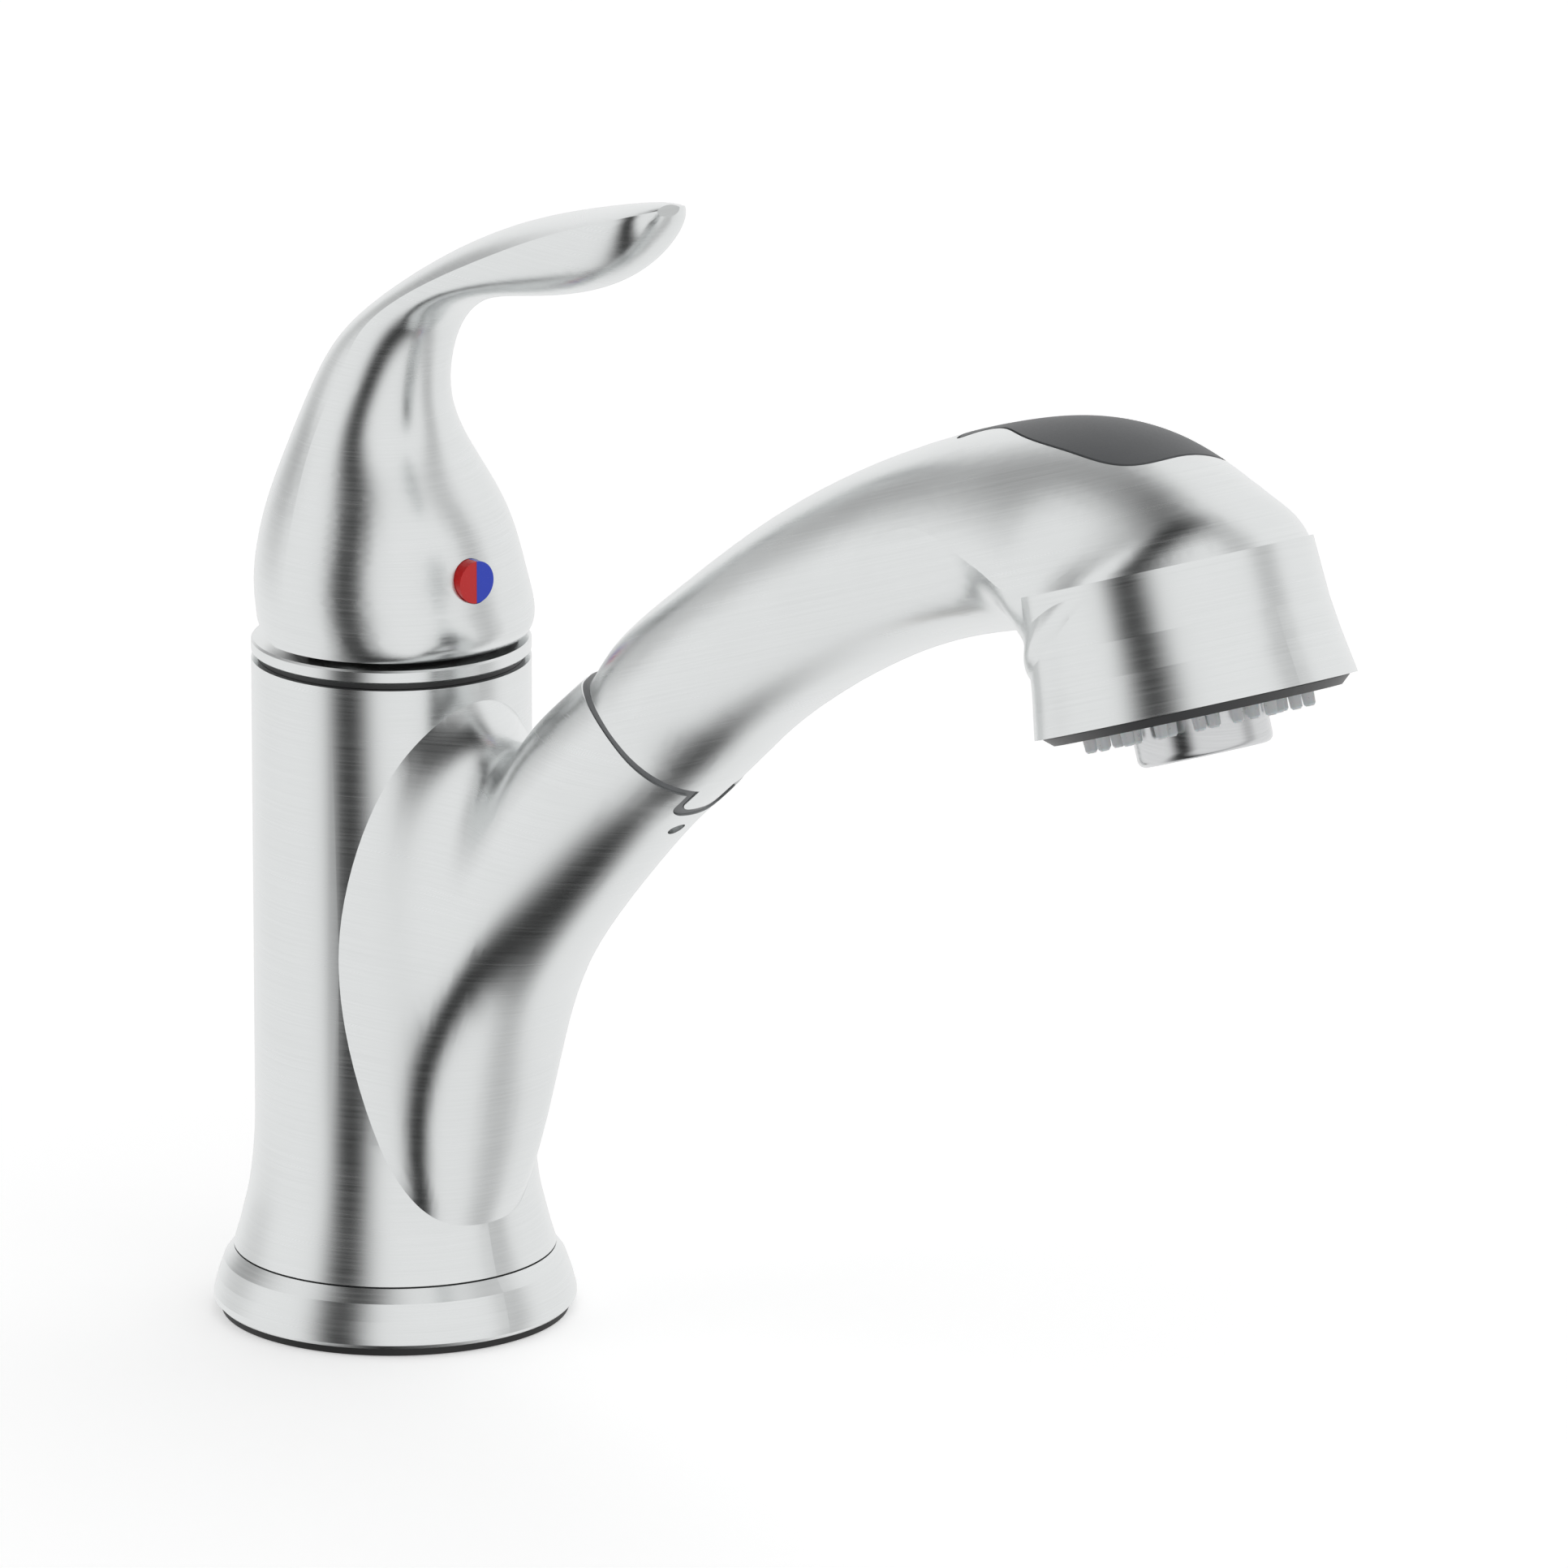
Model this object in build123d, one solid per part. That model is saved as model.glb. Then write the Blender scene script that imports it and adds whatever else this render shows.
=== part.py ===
"""Single-handle kitchen faucet with a pull-out spray wand.

Millimetres, +Z up. The origin is the centre of the base where it rests on the deck, and the
spout points along +X. Everything is symmetric about the XZ plane except the three supply ports.
"""

import os
from math import atan2, cos, degrees, hypot, radians, sin, tan

from build123d import *

# ---- driving dimensions -------------------------------------------------------------------

# column, stacked from the deck up
BODY_R = 25.5  # outer radius of the swivelling column
BODY_BORE_R = 23.3
FLANGE_TOP = 12.0  # top of the fixed base flange
FLANGE_R = 33.3
BODY_BOTTOM = 12.35
BODY_TOP = 123.6
SEAM_TOP = 124.75  # top of the dark bush under the trim ring
TRIM_TOP = 127.3
HANDLE_BOTTOM = 128.6

# mounting through the deck
DECK_THICKNESS = 20.0  # the deck the clamp nut is drawn for
SHANK_R = 16.5
SHANK_BORE_R = 14.2
SHANK_LENGTH = 52.0
PORT_R = 3.45  # tapping size of the supply hoses' M8 fine thread
PORT_CIRCLE_R = 10.3
PORT_DEPTH = 12.0
PORT_ANGLES = {"hot": 115, "cold": -115, "mixed": 180}

# valve
COLUMN_R = 21.9  # fixed valve column inside the swivelling body
SEAT_TOP = 92.0
CUP_R = 17.7
CASE_R = 17.5
LIFT_AXIS_Z = 119.0
RELIEF_FROM, RELIEF_ANGLE = -3.0, 16.5  # cut-back of the handle's skirt, behind this x
INDEX_R, INDEX_Z = 3.9, 142.2
STEM_R = 4.5

# hose
HOSE_R = 5.0
HOSE_HOLE_R = 6.3

# spout mouth, where the wand docks: its centre in the XZ plane and its slope
DOCK_X, DOCK_Z, DOCK_SLOPE = 77.5, 126.2, 40.8
MOUTH_R = 16.1
MOUTH_BORE_R = 14.4
SOCKET_R = 12.3  # inside the plastic collar
PLUG_R = 12.1  # wand's plug in the collar
SEAM_AHEAD = 5.1  # how far ahead of the dock's centre the lower half of the seam lies
SEAM_BEND_FROM = 5.0  # distance below the axis where the seam starts to bend back
SEAM_BEND_R = 23.8
SEAM_HALF = 0.8  # half the width of the collar's visible band
TONGUE_SPOUT = (5.6, -3.0)  # half width and end of the tongue's notch in the spout
TONGUE_WAND = (3.9, -1.2)  # the same of the wand's own tongue

# spray head: centre of the outlet plane and how far that plane is tipped up at the front
HEAD_X, HEAD_Z, HEAD_TILT = 221.0, 160.6, 19.3
RIM_R = 28.4
CREASE_R = 25.9
CREASE_HEIGHT = 24.5
AERATOR_R = 11.9

WALL = 2.0
FIT = 0.05  # radial clearance of turning and sliding fits
GAP = 0.1  # clearance of parts that only face each other

FACE_INNER_R = 22.9
NOZZLE_RINGS = [(14.6, 12), (19.4, 18)]  # radius and count of each ring of nozzles
SPOOL_R = 4.0
SPOOL_X = 5.0  # the spool and the rocker's pivot, along the head's axis frame
PIVOT_X, PIVOT_N = -9.0, 44.8
THUMB_X, THUMB_N = -3.0, 47.7  # middle of the pad's thumb flats

# outlines of the three cast shells. Each row is one section, as the point on its upper or rear
# edge, the point on its lower or front edge, both as (x, z), its half width, and where along
# the line between the points the section is widest. A fifth word shapes the edge there: a
# "crown" has a shallow upper arc that meets the lower half in a crease, and a "fold" is two arcs.
SPOUT_SECTIONS = [
    ((4, 118.0), (4, 15.5), 23.0, 0.50),
    ((27, 118.8), (29.6, 31.0), 18.8, 0.50),
    ((38, 114.6), (37.4, 57.0), 17.0, 0.56),
    ((45.5, 119.0), (53.0, 79.8), 16.5, 0.52),
    ((53.0, 126.8), (74.4, 102.0), 16.3, 0.50),
]
HANDLE_SECTIONS = [
    ((-24.0, 128.6), (24.9, 128.6), 24.9, 0.50, "crown"),
    ((-24.8, 139.0), (24.5, 139.0), 25.0, 0.50, "crown"),
    ((-24.1, 147.0), (22.2, 147.0), 23.3, 0.50, "crown"),
    ((-22.2, 155.0), (18.3, 155.0), 20.4, 0.50, "crown"),
    ((-19.6, 163.0), (13.2, 162.5), 16.7, 0.50, "crown"),
    ((-16.0, 172.0), (10.6, 170.0), 13.2, 0.50, "crown"),
    ((-11.4, 180.0), (11.2, 177.5), 11.2, 0.50, "crown"),
    ((-4.6, 187.0), (14.5, 185.6), 10.2, 0.46, "crown"),
    ((6.0, 194.6), (22.0, 192.8), 9.6, 0.46, "crown"),
    ((18.6, 202.2), (33.0, 197.0), 9.3, 0.42, "crown"),
    ((43.0, 213.2), (51.0, 200.8), 9.6, 0.30, "crown"),
    ((57.0, 217.6), (64.0, 205.2), 9.8, 0.23, "crown"),
    ((68.5, 220.6), (73.6, 211.3), 8.8, 0.22, "crown"),
    ((75.8, 222.1), (78.2, 216.8), 6.2, 0.25, "crown"),
    ((78.9, 222.4), (79.6, 220.4), 2.6, 0.35, "crown"),
]
# the wand's neck: centre, slope in degrees and radius of each round section
NECK_SECTIONS = [
    ((96.8, 142.6), 38.4, 16.1),
    ((119.0, 158.0), 32.3, 16.3),
    ((147.6, 173.2), 25.0, 16.9),
]
# the hood's sections fan out round the elbow; their points are along and above the outlet
HOOD_SECTIONS = [
    ((-45.0, 54.4), (-45.0, 19.2), 17.1, 0.40, "fold"),
    ((-30.0, 54.3), (-33.0, 18.2), 19.3, 0.55, "fold"),
    ((-13.0, 52.5), (-28.5, 16.8), 21.2, 0.64, "fold"),
    ((0.4, 48.0), (-27.4, 14.2), 22.3, 0.64, "fold"),
    ((11.0, 41.2), (-26.9, 11.8), 23.1, 0.56, "fold"),
    ((19.3, 33.9), (-26.7, 9.6), 25.1, 0.42, "fold"),
    ((25.4, 24.2), (-26.6, 7.2), 25.3, 0.45, "fold"),
]

# ---- helpers ------------------------------------------------------------------------------


def ring(outer, inner, low, high):
    """Plain ring on the Z axis."""
    return tube_solid(outer, inner, high - low).moved(Location((0, 0, low)))


def tube_solid(outer, inner, length):
    disc = Circle(outer) - Circle(inner) if inner else Circle(outer)
    return extrude(disc, amount=length)


def turned(points):
    """Solid of revolution about Z from (radius, height) corners."""
    outline = make_face(Polyline([(r, 0, z) for r, z in points], close=True))
    return revolve(outline, Axis.Z)


def rod(radius, start, end):
    """Round bar between two points."""
    start, end = Vector(*start), Vector(*end)
    return extrude(Plane(origin=start, z_dir=end - start) * Circle(radius), amount=(end - start).length)


def section(upper, lower, half_width, widest, edge="smooth", inset=0.0):
    """Oval face standing on the symmetry plane between two of its points."""
    along = Vector(upper[0] - lower[0], 0, upper[1] - lower[1])
    length = along.length - 2 * inset
    along = along.normalized()
    top_part = widest * length
    middle = Vector(upper[0], 0, upper[1]) - along * (top_part + inset)
    plane = Plane(origin=middle, x_dir=(0, 1, 0), z_dir=(along.Z, 0, -along.X))
    reach = half_width - inset
    if edge == "smooth":
        top = EllipticalCenterArc((0, 0), reach, top_part, 0, arc_size=180)
    else:
        top = ThreePointArc((reach, 0), (0, top_part), (-reach, 0))
    if edge == "fold":
        bottom = ThreePointArc((-reach, 0), (0, top_part - length), (reach, 0))
    else:
        bottom = EllipticalCenterArc((0, 0), reach, length - top_part, 180, arc_size=180)
    return plane * make_face([top, bottom])


def skin(rows, inset=0.0):
    return loft([section(*row, inset=inset) for row in rows])


def at_head(x, n):
    """Point of the symmetry plane given along and above the outlet plane."""
    c, s = cos(radians(HEAD_TILT)), sin(radians(HEAD_TILT))
    return HEAD_X + c * x - s * n, HEAD_Z + s * x + c * n


def along_dock(distance, lift=0.0):
    """Point of the symmetry plane given along and above the dock's axis."""
    c, s = cos(radians(DOCK_SLOPE)), sin(radians(DOCK_SLOPE))
    return DOCK_X + c * distance - s * lift, DOCK_Z + s * distance + c * lift


def dock_frame(distance=0.0):
    """Frame with Z along the dock's axis, towards the wand, and X down towards its underside."""
    x, z = along_dock(distance)
    c, s = cos(radians(DOCK_SLOPE)), sin(radians(DOCK_SLOPE))
    return Plane(origin=(x, 0, z), x_dir=(s, 0, -c), z_dir=(c, 0, s))


def head_frame(height=0.0):
    """Frame with Z along the head's axis, away from the outlet, and X forward."""
    x, z = at_head(0, height)
    c, s = cos(radians(HEAD_TILT)), sin(radians(HEAD_TILT))
    return Plane(origin=(x, 0, z), x_dir=(c, 0, s), z_dir=(-s, 0, c))


def dock_section(distance, radius):
    upper, lower = along_dock(distance, radius), along_dock(distance, -radius)
    return upper, lower, radius, 0.5


def round_section(centre, slope, radius):
    """Row of a round section standing square to a slope."""
    dx, dz = radius * sin(radians(slope)), radius * cos(radians(slope))
    return (centre[0] - dx, centre[1] + dz), (centre[0] + dx, centre[1] - dz), radius, 0.5


def wand_side(offset):
    """Everything ahead of the dock's seam: square below, bent back in an arc at the top."""
    ahead = SEAM_AHEAD + offset
    centre = ahead - SEAM_BEND_R
    top = 17.5
    back = centre + (SEAM_BEND_R**2 - (top + SEAM_BEND_FROM) ** 2) ** 0.5
    half_turn = atan2(top + SEAM_BEND_FROM, back - centre) / 2
    on_arc = (-(SEAM_BEND_R * sin(half_turn) - SEAM_BEND_FROM), centre + SEAM_BEND_R * cos(half_turn))
    seam = ThreePointArc((SEAM_BEND_FROM, ahead), on_arc, (-top, back))
    rest = Polyline([(-top, back), (-top - 10, back), (-top - 10, 60), (30, 60), (30, ahead),
                     (SEAM_BEND_FROM, ahead)])
    frame = dock_frame()
    side = Plane(origin=frame.origin, x_dir=frame.x_dir, z_dir=(0, -1, 0))
    return extrude(side * make_face([seam, rest]), amount=30, both=True)


def tongue(half_width, end):
    """Round-ended tongue on the mouth's underside, as a prism that reaches ahead of the seam."""
    length = SEAM_AHEAD + 3 - end
    outline = Rectangle(length, 2 * half_width, align=(Align.MIN, Align.CENTER))
    outline = fillet(outline.vertices().sort_by(Axis.X)[:2], radius=half_width * 0.55)
    frame = dock_frame(end)
    down = Plane(origin=frame.origin + frame.x_dir * 9, x_dir=frame.z_dir, z_dir=frame.x_dir)
    return extrude(down * outline, amount=12)


def polar(radius, angle, z=0.0):
    return radius * cos(radians(angle)), radius * sin(radians(angle)), z


# ---- deck mounting ------------------------------------------------------------------------


def base_gasket():
    return ring(FLANGE_R - 1.4, SHANK_R + 0.6, 0.0, 1.4)


def base_flange():
    """Fixed ring that the column turns on, with a spigot for the lower bush."""
    outer = [
        (FLANGE_R - 0.8, 1.45), (FLANGE_R, 2.3), (FLANGE_R, 3.4), (32.5, 6.5), (31.4, 9.6),
        (29.6, FLANGE_TOP),
    ]
    spigot = [(21.0, FLANGE_TOP), (21.0, 18.0), (18.6, 18.0), (18.6, 9.4), (30.2, 9.4), (30.2, 1.45)]
    return turned(outer + spigot)


def mounting_shank():
    """Hollow threaded tail; shallow grooves stand for its thread."""
    body = ring(SHANK_R, SHANK_BORE_R, -SHANK_LENGTH, 1.4)
    pitch, depth = 1.5, 0.5
    for k in range(int((SHANK_LENGTH - 4) / pitch)):
        low = -SHANK_LENGTH + 1.5 + k * pitch
        body -= ring(SHANK_R + 1, SHANK_R - depth, low, low + pitch / 3)
    return body


def rubber_washer():
    return ring(27.0, SHANK_R + 0.2, -DECK_THICKNESS - 3.0, -DECK_THICKNESS)


def steel_washer():
    return ring(28.0, SHANK_R + 0.2, -DECK_THICKNESS - 5.0, -DECK_THICKNESS - 3.05)


def mounting_nut():
    """Plastic nut with four wings, run up against the washers."""
    top = -DECK_THICKNESS - 5.05
    nut = ring(22.0, SHANK_R + 0.1, top - 12, top) + ring(25.5, SHANK_R + 0.1, top - 2, top)
    for k in range(4):
        wing = Pos(24.5, 0, top - 7) * Box(9, 4.5, 10)
        nut += Rot(0, 0, 90 * k + 45) * wing
    return nut


# ---- fixed valve --------------------------------------------------------------------------


def valve_column():
    """Brass casting: foot with the three ports, rear post with the ways, and the valve's cup."""
    foot = ring(29.5, 0, 1.45, 9.0)
    foot += ring(18.3, 0, 9.0, 15.0)
    post = Pos(-14.5, 0, 50) * Box(13, 27, 84)
    post &= ring(18.3, 0, 8, 19.1) + ring(COLUMN_R, 0, 19.0, 100)
    cup = ring(COLUMN_R, 0, 84.0, SEAM_TOP) - ring(CUP_R, 0, SEAT_TOP, SEAM_TOP + 1)
    casting = foot + post + cup
    casting -= ring(HOSE_HOLE_R, 0, 0, 16)
    # flare of the hose way, so that the hose can lean forward
    casting -= loft([Pos(0, 0, 9) * Circle(HOSE_HOLE_R), Pos(0, 0, 15.1) * Circle(HOSE_HOLE_R + 3)])
    for name, angle in PORT_ANGLES.items():
        casting -= Pos(*polar(PORT_CIRCLE_R, angle, 1.4)) * tube_solid(PORT_R, 0, PORT_DEPTH)
        way = {"hot": 8.0, "cold": -8.0, "mixed": 0.0}[name]
        casting -= rod(2.2, polar(PORT_CIRCLE_R, angle, 11.5), (-14.5, way, 11.5))
        casting -= rod(2.4, (-14.5, way, 10.2), (-14.5, way, 88.0))
        casting -= rod(2.4, (-14.5, way, 87.0), (*polar(8.5, angle)[:2], 87.0))
        casting -= rod(2.6, polar(8.5, angle, 86.0), polar(8.5, angle, SEAT_TOP + 1))
        casting -= Pos(*polar(8.5, angle, SEAT_TOP - 1.0)) * tube_solid(4.3, 0, 2.0)
    casting -= ring(COLUMN_R + 1, COLUMN_R - 1.6, 100.0, 102.0)
    return casting


def column_o_ring():
    return ring(COLUMN_R - FIT, COLUMN_R - 1.55, 100.1, 101.9)


def lower_bush():
    """Plastic bush between flange and column; its rim is the dark line under the column."""
    low = FLANGE_TOP + 0.03
    return ring(BODY_BORE_R - FIT, 21.05, low, 17.8) + ring(28.6, 21.05, low, 12.3)


def upper_bush():
    """Plastic bush round the valve's cup; its rim is the dark groove under the trim ring."""
    sleeve = ring(BODY_BORE_R - FIT, COLUMN_R + 0.03, 116.0, BODY_TOP + 0.1)
    return sleeve + ring(24.3, COLUMN_R + 0.03, BODY_TOP + 0.06, SEAM_TOP)


def trim_ring():
    bevel = 0.35
    low, high = SEAM_TOP + 0.03, TRIM_TOP
    return turned([
        (CUP_R + 0.4, low), (BODY_R - bevel, low), (BODY_R, low + bevel), (BODY_R, high - bevel),
        (BODY_R - bevel, high), (19.9, high), (19.9, low + 1.0), (CUP_R + 0.4, low + 1.0),
    ])


def bonnet_nut():
    """Ring nut that holds the cartridge down and clamps the trim ring."""
    seat = SEAM_TOP + 1.08
    body = ring(CUP_R - 0.05, 15.6, 112.0, seat)
    flange = extrude(RegularPolygon(19.4, 8), amount=4.0).moved(Location((0, 0, seat)))
    flange -= ring(12.0, 0, seat - 1, seat + 5)
    flange -= ring(15.6, 0, seat - 1, seat + 1.0)
    return body + flange


def cartridge_case():
    case = ring(CASE_R, 0, SEAT_TOP + 0.2, 111.9) - ring(15.6, 0, 95.0, 112.0)
    for angle in PORT_ANGLES.values():
        case -= Pos(*polar(8.5, angle, SEAT_TOP)) * tube_solid(2.6, 0, 4)
    return case


def cartridge_seals():
    """The three face seals under the cartridge."""
    seal = ring(4.2, 2.7, SEAT_TOP - 0.95, SEAT_TOP + 0.15)
    return [Pos(*polar(8.5, angle)) * seal for angle in PORT_ANGLES.values()]


def fixed_disc():
    disc = ring(15.4, 0, 95.05, 98.5)
    for angle in PORT_ANGLES.values():
        disc -= Pos(*polar(8.5, angle, 94)) * tube_solid(2.6, 0, 6)
    return disc


# ---- moving valve and handle --------------------------------------------------------------


def moving_disc():
    """Ceramic disc with its mixing hollow."""
    return ring(11.6, 0, 98.55, 102.0) - Pos(-4, 0, 98.5) * tube_solid(6.0, 0, 1.6)


def disc_driver():
    """Carriage on the moving disc, pushed by the ball end of the stem."""
    return ring(10.0, 0, 102.05, 110.6) - ring(4.6, 0, 105.0, 111.0)


def stem_carrier():
    """Rotor that turns with the handle and holds the lever's pivot pin."""
    rotor = ring(15.5, 0, 112.2, 122.4)
    rotor -= Pos(0, 0, 117.3) * Box(19, 9.6, 12)
    rotor -= rod(1.5, (0, -16, LIFT_AXIS_Z), (0, 16, LIFT_AXIS_Z))
    return rotor


def pivot_pin():
    return rod(1.49, (0, -14.8, LIFT_AXIS_Z), (0, 14.8, LIFT_AXIS_Z))


def cartridge_stem():
    """Lever of the cartridge: ball end below the pivot, square end in the handle."""
    stem = rod(STEM_R - 0.3, (0, 0, 112.6), (0, 0, 132.0))
    stem += rod(2.6, (0, 0, 108.5), (0, 0, 112.6)) + Pos(0, 0, 108.6) * Sphere(3.6)
    stem += Pos(0, 0, 139.0) * Box(7.6, 7.6, 14.2)
    stem -= rod(1.55, (0, -8, LIFT_AXIS_Z), (0, 8, LIFT_AXIS_Z))
    return stem


def handle_shell():
    """Cast lever handle: domed skirt, neck and spoon-shaped lever in one piece."""
    shell = skin(HANDLE_SECTIONS)
    hollow = [
        ((-22.0, 127.0), (23.0, 127.0), 22.8, 0.5),
        ((-22.2, 139.0), (22.4, 139.0), 22.6, 0.5),
        ((-19.5, 147.0), (19.5, 147.0), 19.6, 0.5),
        ((-13.0, 153.0), (12.0, 153.0), 12.5, 0.5),
    ]
    shell -= skin(hollow)
    # rear of the skirt is cut back, so that it clears the trim ring when the lever is up
    relief = Box(60, 70, 20, align=(Align.MAX, Align.CENTER, Align.MAX))
    shell -= Pos(RELIEF_FROM, 0, HANDLE_BOTTOM) * Rot(0, RELIEF_ANGLE, 0) * relief
    # boss that takes the square stem and its set screw
    boss = Pos(0, 0, 145.0) * Box(13.6, 13.6, 16) & skin(hollow)
    boss -= Pos(0, 0, 139.0) * Box(7.8, 7.8, 14.6)
    shell += boss
    screw_way = rod(2.05, (3.5, 0, INDEX_Z), (40, 0, INDEX_Z))
    screw_way += rod(INDEX_R + 0.1, (21.9, 0, INDEX_Z), (40, 0, INDEX_Z))
    return shell - screw_way


def index_half(side):
    """Half of the two-colour temperature button, side +1 or -1."""
    button = rod(INDEX_R, (22.0, 0, INDEX_Z), (24.8, 0, INDEX_Z))
    return button & Pos(24, side * 10.02, INDEX_Z) * Box(20, 20, 20)


def set_screw():
    screw = rod(2.0, (4.1, 0, INDEX_Z), (12.0, 0, INDEX_Z))
    socket = Plane(origin=(9.0, 0, INDEX_Z), z_dir=(1, 0, 0)) * RegularPolygon(1.25, 6)
    return screw - extrude(socket, amount=4)


# ---- spout --------------------------------------------------------------------------------

SCREW_AT = -9.0  # collar screw, along the dock's axis
SOCKET_FROM = -30.1  # where the collar's straight socket starts
HOSE_POINTS = [(0, -SHANK_LENGTH - 1), (0, 26), (22, 63), along_dock(-31), along_dock(2)]


def spout_shell():
    """Swivelling casting: flared column with the spout growing out of its front."""
    flare = [
        (29.6, BODY_BOTTOM), (28.5, 16.0), (27.6, 19.5), (26.8, 23.0), (26.2, 27.0), (25.8, 31.0),
        (BODY_R, 38.0),
    ]
    column = revolve(
        make_face([
            Spline([(r, 0, z) for r, z in flare]),
            Polyline([
                (BODY_R, 0, 38.0), (BODY_R, 0, BODY_TOP), (0, 0, BODY_TOP), (0, 0, BODY_BOTTOM),
                (29.6, 0, BODY_BOTTOM),
            ]),
        ]),
        Axis.Z,
    )
    spout = skin(SPOUT_SECTIONS + [dock_section(-6, MOUTH_R), dock_section(9, MOUTH_R)])
    spout -= wand_side(-SEAM_HALF)
    shell = column + spout
    shell -= ring(BODY_BORE_R, 0, 0, BODY_TOP + 1)
    shell -= ring(BODY_R + 0.6, 0, BODY_TOP, BODY_TOP + 12)
    bore = [((20, 54), 63, 13.0), ((28.5, 72), 57, 13.2), ((41.5, 90.5), 50, 13.5)]
    bore = [round_section(*row) for row in bore]
    shell -= skin(bore + [dock_section(-25, MOUTH_BORE_R - 0.6)])
    shell -= dock_frame(SOCKET_FROM) * tube_solid(MOUTH_BORE_R, 0, 50)
    shell -= tongue(*TONGUE_SPOUT)
    shell -= screw_hole()
    return shell


def screw_hole():
    """Hole in the spout's underside for the collar's retaining screw."""
    start, end = along_dock(SCREW_AT, -10.0), along_dock(SCREW_AT, -22.0)
    return rod(1.7, (start[0], 0, start[1]), (end[0], 0, end[1]))


def collar_screw():
    start, end = along_dock(SCREW_AT, -12.45), along_dock(SCREW_AT, -14.9)
    return rod(1.6, (start[0], 0, start[1]), (end[0], 0, end[1]))


def dock_collar():
    """Grey plastic liner of the mouth, with the band that shows as a dark line at the seam."""
    liner = dock_frame(-30.0) * tube_solid(MOUTH_BORE_R - FIT, SOCKET_R, 40.0)
    band = dock_frame(-30.0) * tube_solid(MOUTH_R - 0.25, SOCKET_R, 40.0)
    half, end = TONGUE_SPOUT
    tab = tongue(half - 0.05, end + 0.05) & (band - wand_side(-SEAM_HALF + 0.03))
    band &= wand_side(-SEAM_HALF + 0.03)
    collar = liner + band + tab - wand_side(SEAM_HALF)
    half, end = TONGUE_WAND
    collar -= tongue(half + 0.1, end - 0.1) - dock_frame(-30.0) * tube_solid(MOUTH_BORE_R, 0, 60)
    start, end = along_dock(SCREW_AT, -12.4), along_dock(SCREW_AT, -22.0)
    return collar - rod(1.62, (start[0], 0, start[1]), (end[0], 0, end[1]))


def hose_path():
    """Straight runs joined by arcs as large as the runs allow."""
    points = [Vector(x, 0, z) for x, z in HOSE_POINTS]
    radii = []
    for before, here, after in zip(points, points[1:], points[2:]):
        turn = radians((here - before).get_angle(after - here))
        shorter = min((here - before).length, (after - here).length)
        radii.append(0.45 * shorter / tan(turn / 2))
    print("hose bend radii", [round(r, 1) for r in radii])
    return FilletPolyline(*points, radius=radii)


def spray_hose():
    path = hose_path()
    tube = Plane(origin=path @ 0, z_dir=path % 0) * Circle(HOSE_R)
    hose = sweep(tube, path=path)
    print("hose volume over section times length", hose.volume / (3.14159265 * HOSE_R**2 * path.length))
    return hose


def hose_end_fitting():
    """Crimped ferrule and nut on the hose's deck end."""
    low = -SHANK_LENGTH - 1.05
    ferrule = ring(6.2, 0, low - 10, low)
    nut = extrude(RegularPolygon(6.8, 6), amount=8).moved(Location((0, 0, low - 18)))
    return ferrule + nut - ring(3.0, 0, low - 19, low - 4)


# ---- spray wand ---------------------------------------------------------------------------


def wand_rows(start=-13.0):
    neck = [round_section(*row) for row in NECK_SECTIONS]
    hood = [(at_head(*u), at_head(*l), *rest) for u, l, *rest in HOOD_SECTIONS]
    return [dock_section(start, MOUTH_R), dock_section(4, MOUTH_R)] + neck + hood


def skirt_profile(inset=0.0):
    """Flared wall of the head, as (radius, height above the outlet)."""
    wall = [(RIM_R, 0.0), (28.05, 2.2), (27.1, 8.0), (26.4, 14.0), (CREASE_R, CREASE_HEIGHT)]
    return [(r - inset, n) for r, n in wall]


def wand_outer():
    skirt = head_frame() * turned([(0, 0)] + skirt_profile() + [(0, CREASE_HEIGHT)])
    tail = skin(wand_rows())
    seam = wand_side(SEAM_HALF + 0.05) + tongue(*TONGUE_WAND)
    return (tail & (seam + dock_frame(20) * Pos(0, 0, 150) * Box(300, 80, 300))) + skirt


def button_prism(grow, low=33.0, high=70.0):
    """Teardrop outline of the button, extruded through the top of the head."""
    tip, nose = -43.0 - grow, 9.0 + grow
    side = [(-38.0, 4.0 + grow), (-22.0, 7.6 + grow), (-5.0, 11.0 + grow)]
    left = [(tip, 0)] + side + [(nose, 0)]
    right = [(x, -y) for x, y in reversed(left)]
    outline = make_face([
        Spline(left, tangents=[(0, 1), (0, -1)]),
        Spline(right, tangents=[(0, -1), (0, 1)]),
    ])
    return head_frame(low) * extrude(outline, amount=high - low)


def wand_shell():
    """Outer casting of the wand: neck, hood and flared skirt."""
    shell = wand_outer()
    shell -= skin(wand_rows(start=-16.0), inset=WALL)
    shell -= dock_frame(-16.0) * tube_solid(MOUTH_BORE_R + GAP, 0, 25)
    cavity = [(0, -1), (RIM_R - 1.2, -1), (RIM_R - 1.2, 2.6)]
    cavity += [(r - WALL, n) for r, n in skirt_profile()[2:-1]]
    cavity += [(CREASE_R - WALL, CREASE_HEIGHT - WALL), (0, CREASE_HEIGHT - WALL)]
    shell -= head_frame() * turned(cavity)
    shell -= button_prism(0.45)
    return shell


def thumb_facet(side):
    """Space above one of the two flats for the thumb, cut in the pad's front half."""
    frame = head_frame(THUMB_N)
    across = frame.x_dir.cross(frame.z_dir)
    outward = frame.x_dir * 0.38 + across * (side * 0.42) + frame.z_dir * 0.82
    middle = frame.origin + frame.x_dir * THUMB_X + across * (side * 9.0)
    return Plane(origin=middle, z_dir=outward) * Box(60, 60, 20, align=(Align.CENTER, Align.CENTER, Align.MIN))


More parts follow.
